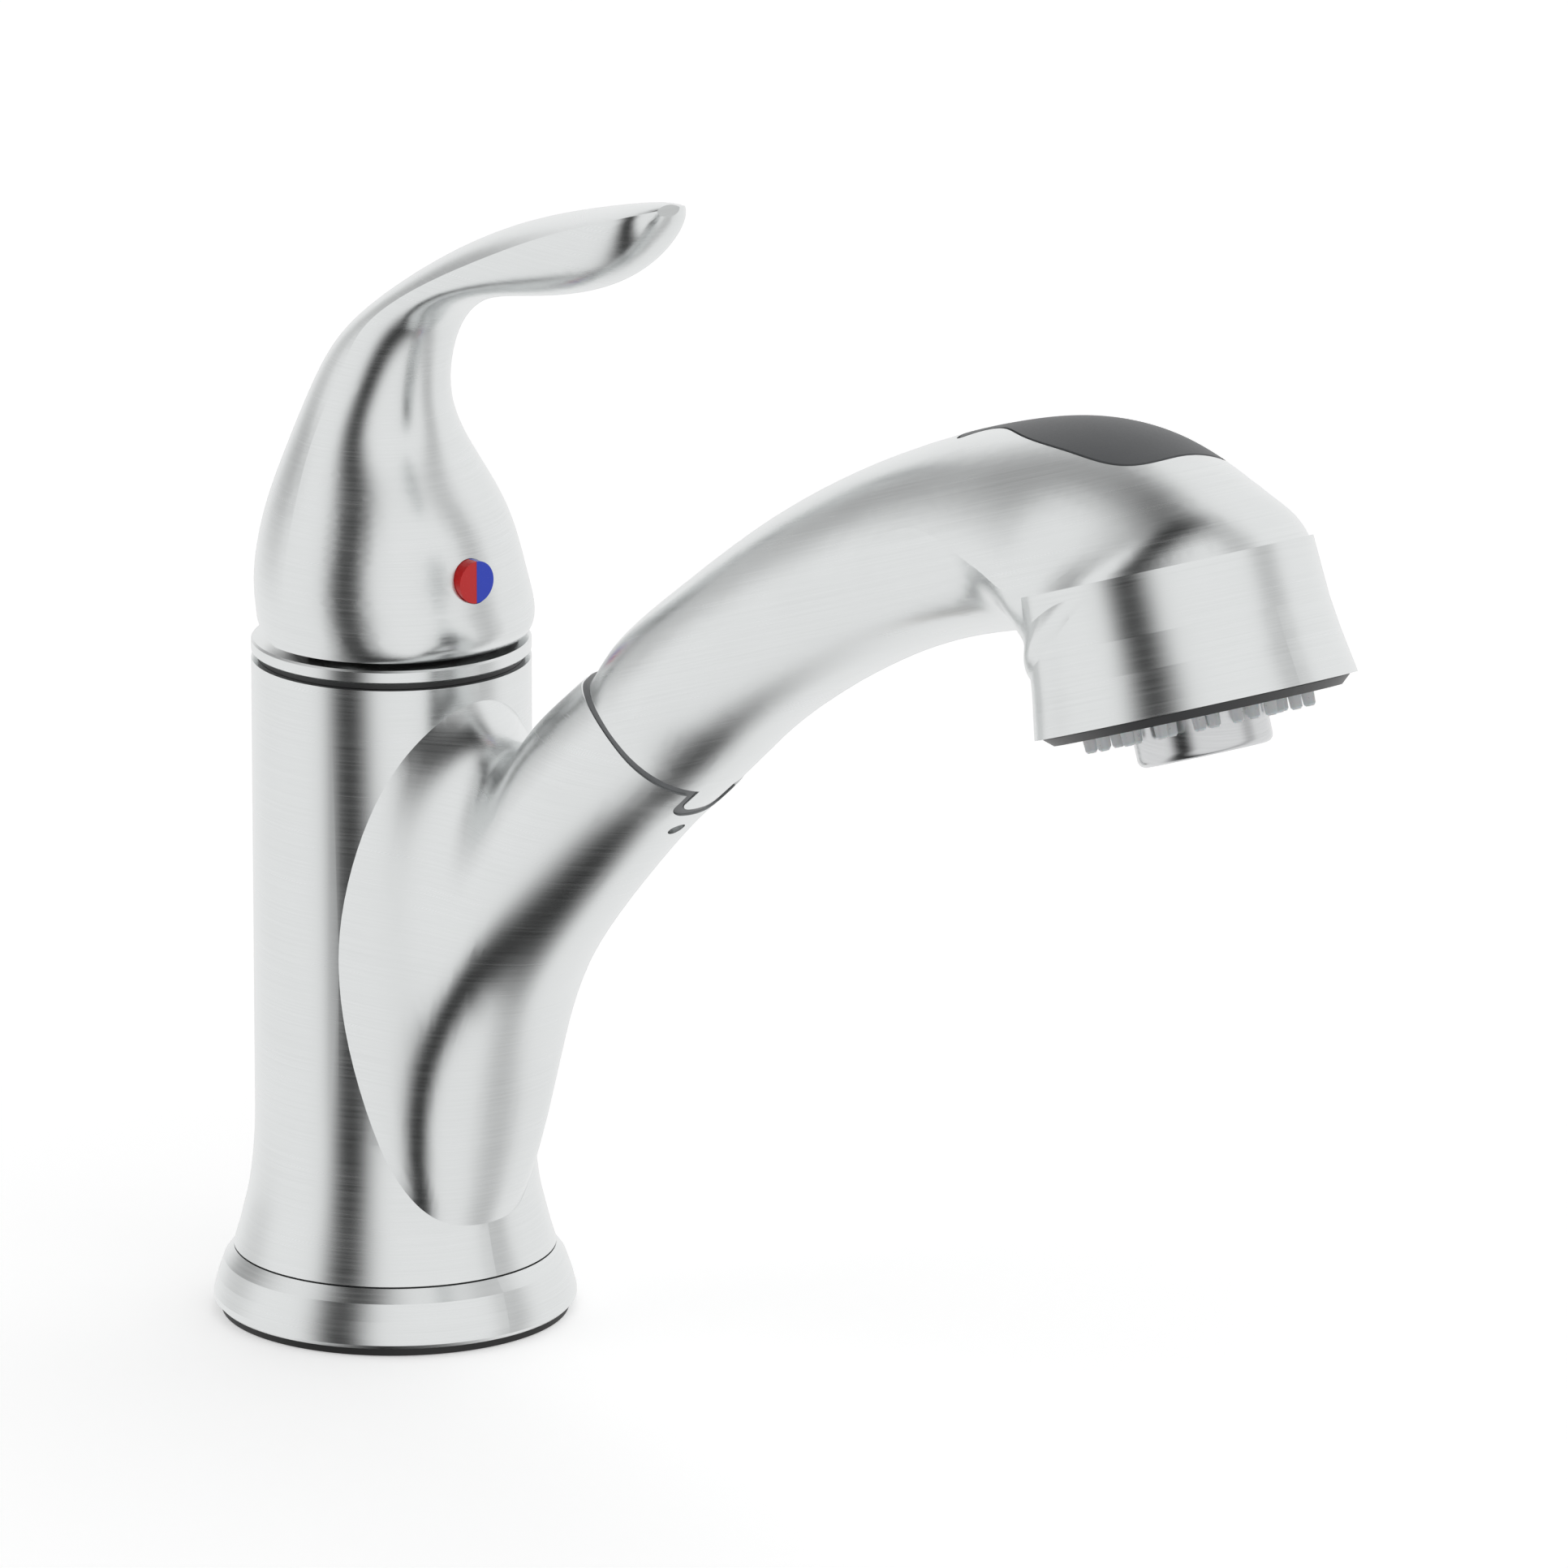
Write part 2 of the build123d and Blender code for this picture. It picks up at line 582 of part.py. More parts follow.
def spray_button():
    """Rocker pad, flush in the top of the head, with the lug that it rocks on."""
    pad = wand_outer() & button_prism(0.0)
    pad -= skin(wand_rows(), inset=2.6)
    for side in (-1, 1):
        pad -= thumb_facet(side)
    lug = Pos(PIVOT_X, 0, 0) * Box(5, 8, 7.4, align=(Align.CENTER, Align.CENTER, Align.MIN))
    lug = head_frame(42.3) * lug
    hole = head_frame(PIVOT_N) * Pos(PIVOT_X, 0, 0) * Rot(90, 0, 0) * Cylinder(1.55, 30)
    return pad + lug - hole


def button_pin():
    return head_frame(PIVOT_N) * Pos(PIVOT_X, 0, 0) * Rot(90, 0, 0) * Cylinder(1.5, 15)


def button_tray():
    """Plate under the rocker with the two ears that hold its pin and the way for the plunger."""
    tray = head_frame(38.0) * Pos(-10, 0, 0) * extrude(SlotOverall(32, 18), amount=1.6)
    for side in (-1, 1):
        ear = Pos(PIVOT_X, side * 6.0, 0) * Box(5, 2.4, 7.6, align=(Align.CENTER, Align.CENTER, Align.MIN))
        tray += head_frame(38.9) * ear
    hole = head_frame(PIVOT_N) * Pos(PIVOT_X, 0, 0) * Rot(90, 0, 0) * Cylinder(1.5 + 0.01, 30)
    plunger_way = head_frame(37.0) * Pos(SPOOL_X, 0, 0) * tube_solid(3.2, 0, 4)
    return tray - hole - plunger_way


def dock_plug():
    """Plastic end of the wand that slides into the collar."""
    plug = dock_frame(-22.0) * tube_solid(PLUG_R, 9.4, 36.0)
    return plug + dock_frame(9.0) * tube_solid(13.5, 11.0, 4.0)


def hose_nut():
    """Nut that joins the hose to the wand."""
    return dock_frame(-16.0) * tube_solid(9.3, HOSE_R + 0.3, 22.9)


def check_valve():
    valve = dock_frame(7.1) * tube_solid(7.4, 0, 12.0)
    return valve - dock_frame(7.0) * tube_solid(2.6, 0, 13.0)


def waterway_tube():
    """Plastic tube from the check valve through the neck to the diverter."""
    points = [along_dock(20.0), (119.0, 157.6), (146.6, 171.0), at_head(-34, 32.2), at_head(-14.2, 28.6)]
    path = FilletPolyline(*[Vector(x, 0, z) for x, z in points], radius=28)
    face = Plane(origin=path @ 0, z_dir=path % 0) * (Circle(5.4) - Circle(4.0))
    return sweep(face, path=path)


def diverter_housing():
    """Body of the spray diverter, with the bore that the spool slides in."""
    body = head_frame(15.0) * tube_solid(13.0, 0, 21.0)
    body -= head_frame(18.0) * Pos(SPOOL_X, 0, 0) * tube_solid(SPOOL_R + FIT, 0, 20)
    body -= head_frame(14.0) * tube_solid(8.0, 0, 3.0)
    inlet = head_frame(29.0) * Plane.YZ.offset(-14) * Circle(3.8)
    return body - extrude(inlet, amount=12)


def diverter_spool():
    """Plunger that the rocker moves to change from stream to spray."""
    spool = head_frame(20.0) * Pos(SPOOL_X, 0, 0) * tube_solid(SPOOL_R, 0, 14.0)
    for low in (22.0, 30.0):
        spool -= head_frame(low) * Pos(SPOOL_X, 0, 0) * tube_solid(SPOOL_R + 1, SPOOL_R - 1.0, 1.6)
    return spool + head_frame(34.0) * Pos(SPOOL_X, 0, 0) * tube_solid(2.2, 0, 6.4)


def spool_o_rings():
    o_ring = tube_solid(SPOOL_R, SPOOL_R - 0.98, 1.5)
    return [head_frame(low) * Pos(SPOOL_X, 0, 0) * o_ring for low in (22.05, 30.05)]


def face_ring():
    """Dark chamfered ring round the spray face."""
    return head_frame() * turned([
        (26.9, 2.0), (26.9, -0.2), (25.3, -1.6), (FACE_INNER_R, -1.6), (FACE_INNER_R, 2.0),
    ])


def face_carrier():
    """Chamber behind the spray face that carries it on the diverter."""
    chamber = turned([(26.4, 2.1), (26.4, 3.2), (24.2, 6.0), (22.5, 14.9), (12.6, 14.9), (12.6, 12.4),
                      (20.6, 12.4), (22.4, 5.0), (22.4, 2.1)])
    return head_frame() * chamber


def spray_face():
    """Translucent silicone face with its rings of soft nozzles."""
    face = tube_solid(FACE_INNER_R - 0.05, AERATOR_R + 0.2, 2.6).moved(Location((0, 0, -1.3)))
    nozzle = revolve(make_face(Polyline([(0, 0, -1.0), (1.3, 0, -1.0), (1.05, 0, -4.2), (0, 0, -4.2)],
                                        close=True)), Axis.Z)
    for radius, count in NOZZLE_RINGS:
        for k in range(count):
            face += Pos(*polar(radius, 360 * k / count)) * nozzle
    return head_frame() * face


def aerator_housing():
    """Satin chrome outlet in the middle of the face."""
    body = turned([(AERATOR_R, 12.3), (AERATOR_R, -7.2), (AERATOR_R - 1.4, -8.6), (9.2, -8.6), (9.2, 12.3)])
    return head_frame() * body


def aerator_screen():
    screen = tube_solid(9.15, 0, 1.2)
    for k in range(6):
        screen -= Pos(*polar(5.5, 60 * k)) * tube_solid(1.5, 0, 2)
    screen -= tube_solid(1.5, 0, 2)
    return head_frame(-7.8) * screen


def flow_regulator():
    return head_frame(2.0) * (tube_solid(9.15, 3.0, 6.0))


PARTS = {
    "deck_gasket": base_gasket,
    "base_flange": base_flange,
    "mounting_shank": mounting_shank,
    "rubber_washer": rubber_washer,
    "steel_washer": steel_washer,
    "mounting_nut": mounting_nut,
    "valve_column": valve_column,
    "column_o_ring": column_o_ring,
    "lower_bush": lower_bush,
    "upper_bush": upper_bush,
    "trim_ring": trim_ring,
    "bonnet_nut": bonnet_nut,
    "cartridge_case": cartridge_case,
    "cartridge_seals": cartridge_seals,
    "fixed_ceramic_disc": fixed_disc,
    "moving_ceramic_disc": moving_disc,
    "disc_driver": disc_driver,
    "stem_carrier": stem_carrier,
    "pivot_pin": pivot_pin,
    "cartridge_stem": cartridge_stem,
    "handle_shell": handle_shell,
    "index_red": lambda: index_half(-1),
    "index_blue": lambda: index_half(1),
    "set_screw": set_screw,
    "spout_shell": spout_shell,
    "dock_collar": dock_collar,
    "collar_screw": collar_screw,
    "spray_hose": spray_hose,
    "hose_end_fitting": hose_end_fitting,
    "wand_shell": wand_shell,
    "dock_plug": dock_plug,
    "hose_nut": hose_nut,
    "check_valve": check_valve,
    "waterway_tube": waterway_tube,
    "button_tray": button_tray,
    "button_pin": button_pin,
    "spray_button": spray_button,
    "diverter_housing": diverter_housing,
    "diverter_spool": diverter_spool,
    "spool_o_rings": spool_o_rings,
    "face_carrier": face_carrier,
    "face_ring": face_ring,
    "spray_face": spray_face,
    "aerator_housing": aerator_housing,
    "aerator_screen": aerator_screen,
    "flow_regulator": flow_regulator,
}

os.makedirs("parts", exist_ok=True)
for name, build in PARTS.items():
    shape = build()
    if isinstance(shape, list):
        shape = Compound(children=shape)
    export_step(shape, f"parts/{name}.step")
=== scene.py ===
"""Studio scene of a single-lever kitchen faucet with a pull-out spray wand, round its CAD frame."""
import bpy
import bmesh
from math import cos, pi, radians, sin
from mathutils import Matrix, Vector


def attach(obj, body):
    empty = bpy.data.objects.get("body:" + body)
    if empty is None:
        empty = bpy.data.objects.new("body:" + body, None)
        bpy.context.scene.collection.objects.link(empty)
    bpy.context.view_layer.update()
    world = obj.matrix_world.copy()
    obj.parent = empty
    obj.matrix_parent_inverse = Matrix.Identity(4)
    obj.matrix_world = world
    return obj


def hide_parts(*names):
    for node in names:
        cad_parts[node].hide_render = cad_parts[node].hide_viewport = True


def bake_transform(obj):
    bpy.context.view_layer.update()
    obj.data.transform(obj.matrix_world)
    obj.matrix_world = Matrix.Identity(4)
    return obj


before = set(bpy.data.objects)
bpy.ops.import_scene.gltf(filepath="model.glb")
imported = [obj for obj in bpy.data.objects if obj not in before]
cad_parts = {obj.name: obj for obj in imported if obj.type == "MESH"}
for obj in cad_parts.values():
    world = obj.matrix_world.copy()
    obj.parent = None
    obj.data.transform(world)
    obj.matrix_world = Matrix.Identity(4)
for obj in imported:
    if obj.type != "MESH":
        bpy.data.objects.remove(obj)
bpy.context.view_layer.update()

# ---- camera and stage ----------------------------------------------------------------------

VIEW_AZIMUTH, VIEW_HEIGHT = 50.0, 15.7  # degrees from -Y round towards +X, and above the deck
VIEW_DISTANCE = 3.0  # m, far enough that the column's sides stay parallel
VIEW_TARGET = Vector((0.111, 0.0, 0.123))
LENS_MM, SENSOR_MM = 389.3, 36.0
FAR_CLIP = 50.0  # m
FLOOR_HALF, FLOOR_HEIGHT = 12.0, -0.0002  # m
PAPER_WHITE, PAPER_ROUGH, PAPER_GLOW = 0.9, 0.9, 0.42
MM = 0.001


def hex_rgb(code):
    """sRGB hex to linear RGB."""
    parts = [int(code[k:k + 2], 16) / 255 for k in (0, 2, 4)]
    return [c / 12.92 if c <= 0.04045 else ((c + 0.055) / 1.055) ** 2.4 for c in parts]


def add_camera():
    """Long lens aimed at the middle of the faucet."""
    azimuth, height = radians(VIEW_AZIMUTH), radians(VIEW_HEIGHT)
    towards = Vector((cos(height) * sin(azimuth), -cos(height) * cos(azimuth), sin(height)))
    data = bpy.data.cameras.new("camera")
    data.lens = LENS_MM
    data.sensor_width = SENSOR_MM
    data.clip_end = FAR_CLIP
    camera = bpy.data.objects.new("camera", data)
    bpy.context.scene.collection.objects.link(camera)
    camera.location = VIEW_TARGET + VIEW_DISTANCE * towards
    camera.rotation_euler = (-towards).to_track_quat("-Z", "Y").to_euler()
    bpy.context.scene.camera = camera


def node(tree, kind, settings=None, **links):
    """Add a shader or geometry node. settings are its properties; links are values or sockets by
    input name, with _ for a space, or by input number as i0, i1 and so on."""
    new = tree.nodes.new(kind)
    for key, value in (settings or {}).items():
        setattr(new, key, value)
    for key, value in links.items():
        numbered = key[0] == "i" and key[1:].isdigit()
        socket = new.inputs[int(key[1:]) if numbered else key.replace("_", " ")]
        if isinstance(value, bpy.types.NodeSocket):
            tree.links.new(value, socket)
        else:
            socket.default_value = value
    return new


def plane_strip(tree, direction, normal, half_width, softness):
    """1 inside a dark strip of the studio: a band along a great circle, 0 elsewhere."""
    along = node(tree, "ShaderNodeVectorMath", {"operation": "DOT_PRODUCT"}, i0=direction,
                 i1=normal)
    size = node(tree, "ShaderNodeMath", {"operation": "ABSOLUTE"}, i0=along.outputs["Value"])
    edge = node(tree, "ShaderNodeMapRange", {"interpolation_type": "SMOOTHSTEP"},
                Value=size.outputs[0], From_Min=half_width - softness,
                From_Max=half_width + softness, To_Min=1.0, To_Max=0.0)
    return edge.outputs["Result"]


def side_of(tree, direction, facing, low, high):
    """0 to 1 from one side of the studio to the side that facing points to."""
    along = node(tree, "ShaderNodeVectorMath", {"operation": "DOT_PRODUCT"}, i0=direction,
                 i1=facing)
    ramp = node(tree, "ShaderNodeMapRange", {"interpolation_type": "SMOOTHSTEP"},
                Value=along.outputs["Value"], From_Min=low, From_Max=high)
    return ramp.outputs["Result"]


def product(tree, first, second):
    """The two values multiplied."""
    return node(tree, "ShaderNodeMath", {"operation": "MULTIPLY"}, i0=first, i1=second).outputs[0]


def heading(offset):
    """Horizontal direction, in degrees to the right of the one towards the camera."""
    turn = radians(VIEW_AZIMUTH + offset)
    return Vector((sin(turn), -cos(turn), 0.0))


# dark cards of the studio: heading in degrees, half width and softness (sines), how much of the
# light each one takes away, and the heights (sines) between which it fades in
DARK_CARDS = [
    (-35.0, 0.26, 0.17, 0.98, -1.3, -1.1),
    (-128.0, 0.30, 0.22, 0.60, -0.3, 0.4),
    (83.0, 0.18, 0.14, 0.38, -1.3, -1.1),
]
CARD_ENDS = (-0.45, 0.05)  # a card's band fades in between these sines towards its heading
SOFT_WHITE = 0.98  # brightness of the light tent


def add_world():
    """Light tent with dark cards, which give the metal its soft dark bands."""
    world = bpy.data.worlds.new("light_tent")
    bpy.context.scene.world = world
    world.use_nodes = True
    tree = world.node_tree
    tree.nodes.clear()
    direction = node(tree, "ShaderNodeTexCoord").outputs["Generated"]
    light = SOFT_WHITE
    for offset, half, soft, depth, low, high in DARK_CARDS:
        strip = plane_strip(tree, direction, heading(offset + 90.0), half, soft)
        front = side_of(tree, direction, heading(offset), *CARD_ENDS)
        above = side_of(tree, direction, (0, 0, 1), low, high)
        mask = product(tree, product(tree, strip, front), above)
        keep = node(tree, "ShaderNodeMath", {"operation": "MULTIPLY_ADD"}, i0=mask, i1=-depth,
                    i2=1.0)
        light = product(tree, light, keep.outputs[0])
    seen = node(tree, "ShaderNodeLightPath").outputs["Is Camera Ray"]
    strength = node(tree, "ShaderNodeMix", {"data_type": "FLOAT"}, i0=seen, i2=light, i3=1.0)
    back = node(tree, "ShaderNodeBackground", Color=(1, 1, 1, 1), Strength=strength.outputs[0])
    out = node(tree, "ShaderNodeOutputWorld")
    tree.links.new(back.outputs[0], out.inputs["Surface"])


def add_floor():
    """White deck paper: it glows a little, so that it stays as white as the tent behind it."""
    mesh = bpy.data.meshes.new("floor")
    corners = [(x * FLOOR_HALF, y * FLOOR_HALF, FLOOR_HEIGHT)
               for x, y in ((-1, -1), (1, -1), (1, 1), (-1, 1))]
    mesh.from_pydata(corners, [], [(0, 1, 2, 3)])
    floor = bpy.data.objects.new("floor", mesh)
    bpy.context.scene.collection.objects.link(floor)
    paper = bpy.data.materials.new("white_paper")
    paper.use_nodes = True
    shader = paper.node_tree.nodes["Principled BSDF"]
    shader.inputs["Base Color"].default_value = (PAPER_WHITE, PAPER_WHITE, PAPER_WHITE, 1)
    shader.inputs["Roughness"].default_value = PAPER_ROUGH
    shader.inputs["Emission Color"].default_value = (1, 1, 1, 1)
    shader.inputs["Emission Strength"].default_value = PAPER_GLOW
    mesh.materials.append(paper)
    floor.visible_glossy = False


add_camera()
add_world()
add_floor()
bpy.context.scene.view_settings.view_transform = "Standard"

# ---- finishes ------------------------------------------------------------------------------


def material(name, rough, metal=0.0, **sockets):
    """Material with one Principled shader, whose constants are given by socket name."""
    mat = bpy.data.materials.new(name)
    mat.use_nodes = True
    shader = mat.node_tree.nodes["Principled BSDF"]
    shader.inputs["Roughness"].default_value = rough
    shader.inputs["Metallic"].default_value = metal
    for key, value in sockets.items():
        shader.inputs[key.replace("_", " ")].default_value = value
    return mat, mat.node_tree, shader


def varied(tree, factor, low, high):
    """Value that runs from low to high with a 0 to 1 factor."""
    ramp = node(tree, "ShaderNodeMapRange", Value=factor, To_Min=low, To_Max=high)
    return ramp.outputs["Result"]


def tinted(tree, factor, dark, light):
    """Colour that runs from dark to light, both sRGB hex, with a 0 to 1 factor."""
    mix = node(tree, "ShaderNodeMix", {"data_type": "RGBA"}, i0=factor,
               i6=(*hex_rgb(dark), 1), i7=(*hex_rgb(light), 1))
    return mix.outputs[2]


def surface(tree, shader, colour, height, strength, depth, rough=None):
    """Wire a finish to its shader: colour, relief of a depth in m, and a roughness that varies."""
    tree.links.new(colour, shader.inputs["Base Color"])
    if rough:
        tree.links.new(rough, shader.inputs["Roughness"])
    bump = node(tree, "ShaderNodeBump", Strength=strength, Distance=depth, Height=height)
    tree.links.new(bump.outputs[0], shader.inputs["Normal"])


LINE_PITCH = 0.00035  # m, brush lines: real ones are finer, this is the finest that shows
LINE_LENGTH = 0.05  # m
PATCHES = 90.0  # per m, soft patches where the belt pressed harder
PATCH_SHARE = 0.35  # of the patches in the colour and roughness, next to the lines
BRUSH_ROUGH = (0.22, 0.285)
BRUSH_RELIEF = (0.028, 0.0001)  # strength, and depth in m


def brushed_steel(name, lean=0.0):
    """Stainless steel brushed round the piece with a fine belt: faint hair lines, soft bands of
    light across them. lean is the angle in degrees from +Z to the piece's own axis, towards +X."""
    mat, tree, shader = material(name, BRUSH_ROUGH[0], 1.0)
    place = node(tree, "ShaderNodeTexCoord").outputs["Object"]
    turn = node(tree, "ShaderNodeMapping", {"vector_type": "POINT"}, Vector=place,
                Rotation=(0.0, radians(-lean), 0.0))
    lines = node(tree, "ShaderNodeMapping", {"vector_type": "POINT"}, Vector=turn.outputs[0],
                 Scale=(1 / LINE_LENGTH, 1 / LINE_LENGTH, 1 / LINE_PITCH))
    hair = node(tree, "ShaderNodeTexNoise", Vector=lines.outputs[0], Scale=1.0, Detail=3.0,
                Roughness=0.7)
    cloud = node(tree, "ShaderNodeTexNoise", Vector=place, Scale=PATCHES, Detail=2.0)
    mixed = node(tree, "ShaderNodeMath", {"operation": "MULTIPLY_ADD"}, i0=cloud.outputs["Fac"],
                 i1=PATCH_SHARE, i2=hair.outputs["Fac"])
    factor = node(tree, "ShaderNodeMapRange", Value=mixed.outputs[0], From_Min=0.45, From_Max=0.95)
    surface(tree, shader, tinted(tree, factor.outputs[0], "DFE1E1", "E6E8E8"), hair.outputs["Fac"],
            *BRUSH_RELIEF, varied(tree, factor.outputs[0], *BRUSH_ROUGH))
    return mat


FINE_DEPTH = 0.00005  # m, mould grain and tool marks
MOULD_PATCHES = 60.0  # per m
MOULD_SPREAD, TOOL_SPREAD = 0.06, 0.08  # roughness either side of the mean
TOOL_MARKS = (60.0, 60.0, 2500.0)  # per m: rings 0.4 mm apart along the axis
TOOL_STRENGTH = 0.1


def moulded(name, dark, light, rough, grain=0.0004, strength=0.2, **sockets):
    """Moulded plastic or rubber, fired ceramic or enamel: one colour with a fine grain, whose size
    is in m and which the mould or the lapping leaves."""
    mat, tree, shader = material(name, rough, 0.0, **sockets)
    place = node(tree, "ShaderNodeTexCoord").outputs["Object"]
    fine = node(tree, "ShaderNodeTexNoise", Vector=place, Scale=1 / grain, Detail=2.0)
    cloud = node(tree, "ShaderNodeTexNoise", Vector=place, Scale=MOULD_PATCHES, Detail=3.0)
    surface(tree, shader, tinted(tree, cloud.outputs["Fac"], dark, light), fine.outputs["Fac"],
            strength, FINE_DEPTH,
            varied(tree, fine.outputs["Fac"], rough - MOULD_SPREAD, rough + MOULD_SPREAD))
    return mat


def machined(name, dark, light, rough=0.3):
    """Turned or milled metal: fine tool marks round the vertical axis."""
    mat, tree, shader = material(name, rough, 1.0)
    place = node(tree, "ShaderNodeTexCoord").outputs["Object"]
    marks = node(tree, "ShaderNodeMapping", {"vector_type": "POINT"}, Vector=place,
                 Scale=TOOL_MARKS)
    tool = node(tree, "ShaderNodeTexNoise", Vector=marks.outputs[0], Scale=1.0, Detail=2.0)
    surface(tree, shader, tinted(tree, tool.outputs["Fac"], dark, light), tool.outputs["Fac"],
            TOOL_STRENGTH, FINE_DEPTH,
            varied(tree, tool.outputs["Fac"], rough - TOOL_SPREAD, rough + TOOL_SPREAD))
    return mat


def dress(finish, *nodes):
    """Give CAD pieces a finish."""
    for name in nodes:
        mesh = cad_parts[name].data
        mesh.materials.clear()
        mesh.materials.append(finish)


HEAD_LEAN = 19.3  # degrees from +Z to the spray head's axis, towards -X

# castings and turned rings, belt brushed
dress(brushed_steel("brushed_stainless_column"), "base_flange", "trim_ring", "handle_shell")
dress(brushed_steel("brushed_stainless_spout"), "spout_shell")
dress(brushed_steel("brushed_stainless_wand", lean=-HEAD_LEAN), "wand_shell")
# turned parts, bare but for the plated nut
dress(machined("machined_brass", "B08D4F", "C9A869"), "mounting_shank", "valve_column",
      "hose_nut", "hose_end_fitting")
dress(machined("turned_stainless", "A9AAAB", "C4C5C6"), "steel_washer", "pivot_pin", "button_pin",
      "collar_screw", "set_screw", "cartridge_stem")
dress(machined("black_nickel_plate", "2B2A29", "3A3938", 0.4), "bonnet_nut")
# moulded seals, bushes and housings, the lapped ceramic discs and the enamelled button
dress(moulded("black_nitrile_rubber", "161616", "202020", 0.6), "deck_gasket", "rubber_washer",
      "column_o_ring", "cartridge_seals", "spool_o_rings")
dress(moulded("charcoal_acetal", "2A2B2C", "343536", 0.42), "lower_bush", "upper_bush",
      "mounting_nut", "face_ring")
dress(moulded("grey_abs_collar", "5A5C5D", "66686A", 0.4), "dock_collar")
dress(moulded("grey_soft_touch_pad", "56585A", "606264", 0.5, grain=0.0005, strength=0.35),
      "spray_button")
dress(moulded("natural_acetal", "D6D6D0", "E4E4DF", 0.35), "cartridge_case", "disc_driver",
      "stem_carrier", "dock_plug", "check_valve", "waterway_tube", "button_tray",
      "diverter_housing", "diverter_spool", "face_carrier", "aerator_screen", "flow_regulator")
dress(moulded("lapped_alumina", "E6E4DD", "F0EEE8", 0.15), "fixed_ceramic_disc",
      "moving_ceramic_disc")
dress(moulded("red_acrylic_enamel", "C4161A", "D0201F", 0.25), "index_red")
dress(moulded("blue_acrylic_enamel", "1F3AB8", "2744CC", 0.25), "index_blue")

# ---- spray face ----------------------------------------------------------------------------

HEAD_TILT = radians(HEAD_LEAN)
OUTLET_X, OUTLET_Z = 0.221, 0.1606  # m, centre of the outlet
# frame of the outlet plane, with its Z into the head
HEAD = Matrix(((cos(HEAD_TILT), 0, -sin(HEAD_TILT), OUTLET_X), (0, 1, 0, 0),
               (sin(HEAD_TILT), 0, cos(HEAD_TILT), OUTLET_Z), (0, 0, 0, 1)))


def add_piece(name, mesh, finish, body, slot, *nodes):
    """Piece made in world coordinates that replaces CAD nodes and rides on a body, or on none."""
    mesh.materials.clear()
    mesh.materials.append(finish)
    piece = bpy.data.objects.new(name, mesh)
    bpy.context.scene.collection.objects.link(piece)
    if body:
        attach(piece, body)
    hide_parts(*nodes)
    return piece


def lathe(name, profile, place, steps=96):
    """Closed ring turned from a profile of (radius, height) corners in mm, anticlockwise, in the
    frame that place gives."""
    count = len(profile)
    points, faces = [], []
    for k in range(steps):
        turn = 2 * pi * k / steps
        points += [place @ (MM * Vector((r * cos(turn), r * sin(turn), z))) for r, z in profile]
    for k in range(steps):
        for j in range(count):
            a, b = k * count + j, k * count + (j + 1) % count
            c, d = ((k + 1) % steps) * count + (j + 1) % count, ((k + 1) % steps) * count + j
            faces.append((a, d, c, b))
    mesh = bpy.data.meshes.new(name)
    mesh.from_pydata(points, [], faces)
    tidy = bmesh.new()
    tidy.from_mesh(mesh)
    bmesh.ops.recalc_face_normals(tidy, faces=tidy.faces)
    tidy.to_mesh(mesh)
    tidy.free()
    return mesh


def rounded(centre, radius, start, end, steps=6):
    """Points of a small arc in a profile, by angle in degrees."""
    angles = [radians(start + (end - start) * k / steps) for k in range(steps + 1)]
    return [(centre[0] + radius * cos(a), centre[1] + radius * sin(a)) for a in angles]


SHARP_ANGLE = 35.0  # degrees, edges above it stay hard


def smooth_by_angle(mesh):
    """Smooth shading, but for the sharp edges."""
    for face in mesh.polygons:
        face.use_smooth = True
    mesh.set_sharp_from_angle(angle=radians(SHARP_ANGLE))


NOZZLE_RINGS = [(14.6, 12), (19.4, 18)]  # radius in mm and count
NOZZLE_R, NOZZLE_TIP_R, NOZZLE_END_R = 1.2, 1.05, 0.7  # mm
NOZZLE_HEIGHT, NOZZLE_ROUND = 2.5, 0.4  # mm
NOZZLE_ROOT = -1.2  # mm, just inside the face plate
NOZZLE_SIDES = 20


